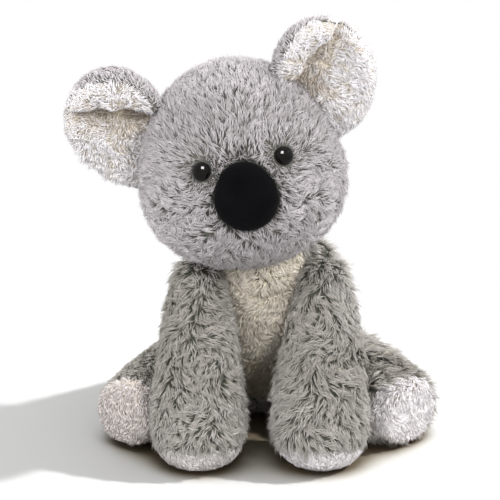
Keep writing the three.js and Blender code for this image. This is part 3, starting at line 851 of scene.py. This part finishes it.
def left_arm_length(p):
    """The paw on the toy's left stands fuller towards the belly."""
    inner_side = smooth(30.0, 22.0, p[:, 0])
    return 1 + 0.3 * inner_side * (1 - smooth(45.0, 75.0, p[:, 2])) * smooth(8.0, 20.0, p[:, 2])


def right_leg_length(p):
    return 1 - 0.4 * smooth(28.0, 44.0, p[:, 2])


# What differs between the toy's two sides, with painted light on the sole and the pad of the toy's left, which
# faces the key lamp, and painted shade on the legs and on the right pad, in the arms' shadow
LIMBS = {
    "left": {"arm_length": left_arm_length, "sole_painted_light": 0.6, "pad_painted_light_and_shade": 0.3, "pad_length": 5.0,
             "splay": 40.0, "leg_painted_shade": -0.3,
             "leg_style": {**LIMB_STYLE, "length": 9.0, "lay": 58.0, "swirl": 0.4}},
    "right": {"arm_length": None, "sole_painted_light": 0.0, "pad_painted_light_and_shade": -0.22, "pad_length": 3.8,
              "splay": 34.0, "leg_painted_shade": -0.12,
              "leg_style": {**LIMB_STYLE, "length": 5.2, "lay": 71.0, "length_field": right_leg_length}},
}
DOWN = (0, 0, -1)
# Painted light on the toy's left shoulder, which faces the key lamp
SHOULDER_PAINTED_LIGHT = 0.6
LIMB_DENSITY, BODY_DENSITY, HEAD_DENSITY, PAD_DENSITY, WHITE_DENSITY = 1.5, 1.4, 1.6, 2.3, 1.8
NECK_DENSITY, EAR_BACK_DENSITY, EAR_EDGE_DENSITY, EAR_LINING_DENSITY = 1.3, 1.9, 3.4, 2.2

grow("head_cover_pile", skins["head_cover"], "head", "grey_pile", head_pile, head_comb, 11, HEAD_DENSITY,
     keep=head_keep, length_field=head_length, lay_field=head_lay, tone_field=head_painted_light_and_shade,
     swirl_field=head_swirl, **HEAD_STYLE)


def lit_shoulder(p):
    """How near a point is to the outer side of the toy's left shoulder, which is the palest in the light;
    painted light makes the pile there paler.
    """
    return smooth(30.0, 46.0, p[:, 0]) * smooth(62.0, 88.0, p[:, 2])


def arm_painted_light_and_shade(p):
    # Painted light on the outer left shoulder, and painted shade, darker higher up the arm, under the head
    return SHOULDER_PAINTED_LIGHT * lit_shoulder(p) - 0.2 * smooth(35.0, 60.0, p[:, 2])


for name, side in SIDES.items():
    limb = LIMBS[name]
    grow(f"{name}_arm_pile", skins[f"{name}_arm_cover"], f"{name}_arm", "grey_pile", limb_pile,
         toward((0, -0.25, -1)), 21 + side, LIMB_DENSITY, length_field=limb["arm_length"],
         tone_field=arm_painted_light_and_shade, **LIMB_STYLE)
    grow(f"{name}_paw_sole_pile", skins[f"{name}_paw_sole"], f"{name}_arm", "white_pile", white_pile,
         toward((0, -0.6, -0.6)), 31 + side, PAD_DENSITY, tone_field=even_tone(limb["sole_painted_light"]), **PAD_STYLE)
    splay = math.radians(limb["splay"])
    ahead = np.array([side * math.sin(splay), -math.cos(splay), -0.45])
    grow(f"{name}_leg_pile", skins[f"{name}_leg_cover"], f"{name}_leg", "grey_pile", limb_pile,
         toward(ahead), 41 + side, LIMB_DENSITY, tone_field=even_tone(limb["leg_painted_shade"]), **limb["leg_style"])
    grow(f"{name}_foot_pad_pile", skins[f"{name}_foot_pad"], f"{name}_leg", "white_pile", white_pile,
         toward(DOWN), 51 + side, PAD_DENSITY, tone_field=even_tone(limb["pad_painted_light_and_shade"]),
         **{**PAD_STYLE, "length": limb["pad_length"]})


def shoulders(p):
    """How near a point of the body is to its top edge behind the neck."""
    return smooth(86.0, 102.0, p[:, 2]) * smooth(-30.0, -10.0, p[:, 1])


def body_painted_light_and_shade(p):
    """Painted shade, dark at the low front between the legs, and painted light, pale on the lit shoulder."""
    low_front_painted_shade = (1 - smooth(6.0, 26.0, p[:, 2])) * smooth(-40.0, -55.0, p[:, 1])
    return SHOULDER_PAINTED_LIGHT * lit_shoulder(p + np.array([6.0, 0, 0])) - 0.5 * low_front_painted_shade


def belly_painted_shade(p):
    # Painted shade darkens the low belly, which the arms and the head shade; the chest is paler
    return 0.7 * smooth(38.0, 62.0, p[:, 2]) - 0.4


grow("body_cover_pile", skins["body_cover"], "torso", "grey_pile", limb_pile,
     toward(DOWN), 61, BODY_DENSITY, tone_field=body_painted_light_and_shade,
     length_field=lambda p: 1 + 0.35 * shoulders(p),
     lay_field=lambda p: 1 - 0.35 * shoulders(p), **LIMB_STYLE)
grow("belly_panel_pile", skins["belly_panel"], "torso", "white_pile", belly_pile,
     toward(DOWN), 62, WHITE_DENSITY, tone_field=belly_painted_shade, **WHITE_STYLE)


def throat(p, n):
    """The neck's front, which is as cream as the belly."""
    return (p[:, 1] < NECK[1] - 6) & (np.abs(p[:, 0]) < 26)


neck_fibre = tree_of([fillings["neck_filling"]])
grow("neck_front_pile", skins["neck_cover"], "neck", "white_pile", throat_pile,
     toward((0, -0.3, -1)), 63, WHITE_DENSITY, inner=neck_fibre, keep=throat,
     tone_field=even_tone(0.3), **WHITE_STYLE)
grow("neck_back_pile", skins["neck_cover"], "neck", "grey_pile", limb_pile,
     toward((0, 0.3, -1)), 64, NECK_DENSITY, inner=neck_fibre, keep=lambda p, n: ~throat(p, n), **LIMB_STYLE)

EAR_BACK_STYLE = dict(length=4.4, lay=74.0, lock=8, clump=0.35, width=0.46, swirl=0.3, curl=0.2, bend=0.35)
EAR_LINING_STYLE = dict(length=4.6, lay=66.0, lock=11, clump=0.34, width=0.54, swirl=0.6, curl=0.3)
EDGE_FROM, EDGE_FACING = 84.0, 0.35
# Painted shade under an ear's crease: distances below the crease in millimetres, and the tone there
DEPTHS, DEPTH_PAINTED_SHADE = [0.0, 6.0, 12.6, 19.0, 25.0], [-0.4, -0.14, 0.05, 0.24, 0.42]


def ear_rim(centre):
    """How near a point is to an ear's rim, from 0 well inside it to 1 on it."""
    x, _, z = centre
    return lambda p: smooth(0.78, 0.92, np.hypot((p[:, 0] - x) / EAR_WIDE, (p[:, 2] - z) / EAR_TALL))


def ear_above(spec):
    """How far a point of an ear is above its crease."""
    x, _, z = spec["centre"]
    return lambda p: above_crease(spec, p[:, 0] - x, p[:, 2] - z)


def ear_white_edge(spec):
    """Where the lining's white pile comes over the rim: away from the band, and not on the back."""
    x, _, z = spec["centre"]

    def white(p, n):
        angle = np.arctan2((p[:, 2] - z) / EAR_TALL, (p[:, 0] - x) / EAR_WIDE)
        return (np.abs(off_direction(angle, spec["band_at"])) > EDGE_FROM) & (n[:, 1] < EDGE_FACING)

    return white


def lining_painted_light_and_shade(spec):
    """Painted light and shade on the lining: pale on the lobe, as painted light, and whiter at the rim, and
    darker and creamier, as painted shade, just under the crease where the lobe overhangs, growing paler further
    below it.
    """
    above, rim = ear_above(spec), ear_rim(spec["centre"])
    mottle = waves(7, 9.0)
    away = unit((spec["centre"] - HEAD_MIDDLE) * np.array([1.0, 0.0, 1.0]))

    def tone(p):
        # Painted shade under the crease, darkest just below it
        crease_shade = np.interp(-above(p), DEPTHS, DEPTH_PAINTED_SHADE)
        outward = (p - spec["centre"]) @ away
        crease_shade = crease_shade + 0.3 * smooth(-5.0, 22.0, outward) + 0.25 * smooth(-8.0, -22.0, outward)
        painted_lobe_light = smooth(-1.0, 1.0, above(p))
        return crease_shade * (1 - painted_lobe_light) + 0.5 * painted_lobe_light + 0.2 * rim(p) + 0.1 * mottle(p)

    return tone


def ear_back_comb(centre):
    """Away from the head and down over the back, and outwards over the rim."""
    away = (centre - HEAD_MIDDLE) * np.array([1.0, 0.0, 1.0])
    over = away / np.linalg.norm(away) * 8.0 + np.array([0.0, 0.0, -9.0])
    edge = ear_rim(centre)
    sideways, back = np.array([0.8, 0.0, 0.8]), np.array([0, 3.0, 0])
    return lambda p, n: over + (p - centre) * sideways * edge(p)[:, None] + back


def ear_lining_comb(centre):
    """From the middle outwards, forwards and down."""
    return lambda p, n: (p - centre) * np.array([1.0, 0.0, 1.0]) + np.array([0.0, -4.0, -9.0])


for name, side in SIDES.items():
    spec, centre = EARS[name], EARS[name]["centre"]
    rim, above, white = ear_rim(centre), ear_above(spec), ear_white_edge(spec)
    grow(f"{name}_ear_back_pile", ear_pieces[name, "back"], f"{name}_ear", "grey_pile", head_pile,
         ear_back_comb(centre), 71 + side, EAR_BACK_DENSITY, inner=None, keep=lambda p, n: ~white(p, n),
         length_field=lambda p: 1 - 0.3 * rim(p), tone_field=lambda p: 0.3 * rim(p), **EAR_BACK_STYLE)
    grow(f"{name}_ear_edge_pile", ear_pieces[name, "back"], f"{name}_ear", "white_pile", lining_pile,
         ear_back_comb(centre), 75 + side, EAR_EDGE_DENSITY, inner=None, keep=white,
         length_field=lambda p: 1 - 0.3 * rim(p), tone_field=even_tone(0.4), **EAR_BACK_STYLE)
    grow(f"{name}_ear_lining_pile", ear_pieces[name, "lining"], f"{name}_ear", "white_pile", lining_pile,
         ear_lining_comb(centre), 81 + side, EAR_LINING_DENSITY, inner=None,
         length_field=lambda p: (1 - 0.45 * np.exp(-(above(p) / 1.8) ** 2)) * (1 - 0.4 * rim(p)),
         tone_field=lining_painted_light_and_shade(spec), **EAR_LINING_STYLE)


# Floor, light and camera

# Painted contact shade on the floor: how far the occlusion reaches, its samples, and its colours from the
# darkest corner to open floor
CONTACT_REACH, CONTACT_SAMPLES = 0.045, 12
CONTACT_PAINTED_SHADE = [(0.0, (116, 102, 80)), (0.32, (124, 112, 93)), (0.45, (194, 187, 172)),
                 (0.57, (245, 243, 238)), (0.68, WHITE)]
FLOOR_HALF = 4000
FADE_AWAY, FADE_BEHIND = (0.26, 0.6), (0.03, 0.16)


def floor_material():
    """Pale, with painted shade, darker and browner, in its contact corners, where ambient occlusion darkens the
    colour; far off and behind the toy the camera sees white.
    """
    material, graph, bsdf = shader("studio_floor")
    place = graph.add("TexCoord").outputs["Object"]
    grain = graph.noise(place, Scale=3.0, Detail=2.0)
    colour = graph.ramp(grain, [(0.0, (221, 221, 221)), (1.0, (224, 224, 223))])
    corner = graph.add("AmbientOcclusion", Distance=CONTACT_REACH, samples=CONTACT_SAMPLES).outputs["AO"]
    # Painted shade: the floor's colour darkened where occlusion is high
    shaded = graph.join("VectorMath", "MULTIPLY", colour, graph.ramp(corner, CONTACT_PAINTED_SHADE))
    graph.feed(bsdf, **{"Base Color": shaded, "Roughness": 0.9, "Specular IOR Level": 0.1})
    away = graph.add("VectorMath", operation="LENGTH", Vector=place).outputs["Value"]
    far_off = graph.spread(away, 0.0, 1.0, *FADE_AWAY, interpolation_type="SMOOTHSTEP")
    ahead = graph.add("SeparateXYZ", Vector=place).outputs["Y"]
    behind = graph.spread(ahead, 0.0, 1.0, *FADE_BEHIND, interpolation_type="SMOOTHSTEP")
    ray = graph.add("LightPath").outputs
    share = graph.join("Math", "MULTIPLY", graph.join("Math", "MAXIMUM", far_off, behind),
                       graph.join("Math", "MAXIMUM", ray["Is Camera Ray"], ray["Is Glossy Ray"]))
    white = graph.add("Emission", Color=(1, 1, 1, 1), Strength=1.0)
    mix = graph.add("MixShader")
    for socket, source in zip(mix.inputs, (share, bsdf.outputs[0], white.outputs[0])):
        graph.give(socket, source)
    graph.feed(graph.nodes["Material Output"], Surface=mix.outputs[0])
    return material


floor_corners = [(x * FLOOR_HALF, y * FLOOR_HALF, 0) for x, y in ((-1, -1), (1, -1), (1, 1), (-1, 1))]
floor = mesh_from("floor", floor_corners, [(0, 1, 2, 3)], floor_material())

SKY_LIGHT = 0.48
world = bpy.data.worlds.new("studio")
bpy.context.scene.world = world
world.use_nodes = True
sky = Graph(world.node_tree)
ray = sky.add("LightPath").outputs
through = sky.join("Math", "MAXIMUM", ray["Is Glossy Ray"], ray["Is Transmission Ray"])
shown = sky.join("Math", "MAXIMUM", ray["Is Camera Ray"], through)
sky.feed(sky.nodes["Background"], Color=(1, 1, 1, 1), Strength=sky.spread(shown, SKY_LIGHT, 1.0))

LAMP_AIM = Vector((0, -0.04, 0.11))


def lamp(name, azimuth, elevation, distance, size, power, linked=None, pieces=()):
    """A soft lamp aimed at the toy that lights all of the set, the pieces alone, or all but them.

    Azimuth 0 is in front and 90 is at +X. Lengths are in metres and power is in watts.
    """
    light = bpy.data.lights.new(name, "AREA")
    light.shape = "SQUARE"
    light.size = size
    light.energy = power
    made = bpy.data.objects.new(name, light)
    bpy.context.scene.collection.objects.link(made)
    a, e = math.radians(azimuth), math.radians(elevation)
    away = Vector((math.sin(a) * math.cos(e), -math.cos(a) * math.cos(e), math.sin(e)))
    made.location = away * distance + LAMP_AIM
    made.rotation_euler = away.to_track_quat("Z", "Y").to_euler()
    if linked is not None:
        receivers = bpy.data.collections.new(name + "_receivers")
        for piece in pieces:
            receivers.objects.link(piece)
        for entry in receivers.collection_objects:
            entry.light_linking.link_state = linked
        made.light_linking.receiver_collection = receivers


lamp("key", 94, 41, 2.2, 0.10, 21.0)
lamp("floor_key", 94, 41, 2.2, 0.10, 32.0, "INCLUDE", [floor])
lamp("floor_fill", 0, 86, 1.7, 1.5, 16.0, "INCLUDE", [floor])
lamp("soft_left", -60, 32, 1.9, 0.42, 22.5, "EXCLUDE", [floor, *eyes])
lamp("soft_right", 34, 34, 1.9, 0.42, 21.5, "EXCLUDE", [floor, *eyes])
lamp("soft_back", 165, 42, 1.9, 0.42, 17.0, "EXCLUDE", [floor])
lamp("catch_light", -8, 58, 1.9, 0.85, 190.0, "INCLUDE", eyes)

SENSOR, FOCAL_PIXELS, PICTURE_PIXELS = 36.0, 1050 / 0.55, 500
CAMERA_AT, CAMERA_TILT = (-0.0065, -1.0247, 0.4656), 70.0
camera = bpy.data.objects.new("camera", bpy.data.cameras.new("camera"))
bpy.context.scene.collection.objects.link(camera)
camera.data.sensor_width = SENSOR
camera.data.lens = SENSOR * FOCAL_PIXELS / PICTURE_PIXELS
camera.data.clip_start, camera.data.clip_end = 0.05, 20.0
camera.location = CAMERA_AT
camera.rotation_euler = (math.radians(CAMERA_TILT), 0.0, 0.0)
bpy.context.scene.camera = camera
bpy.context.scene.view_settings.view_transform = "Standard"
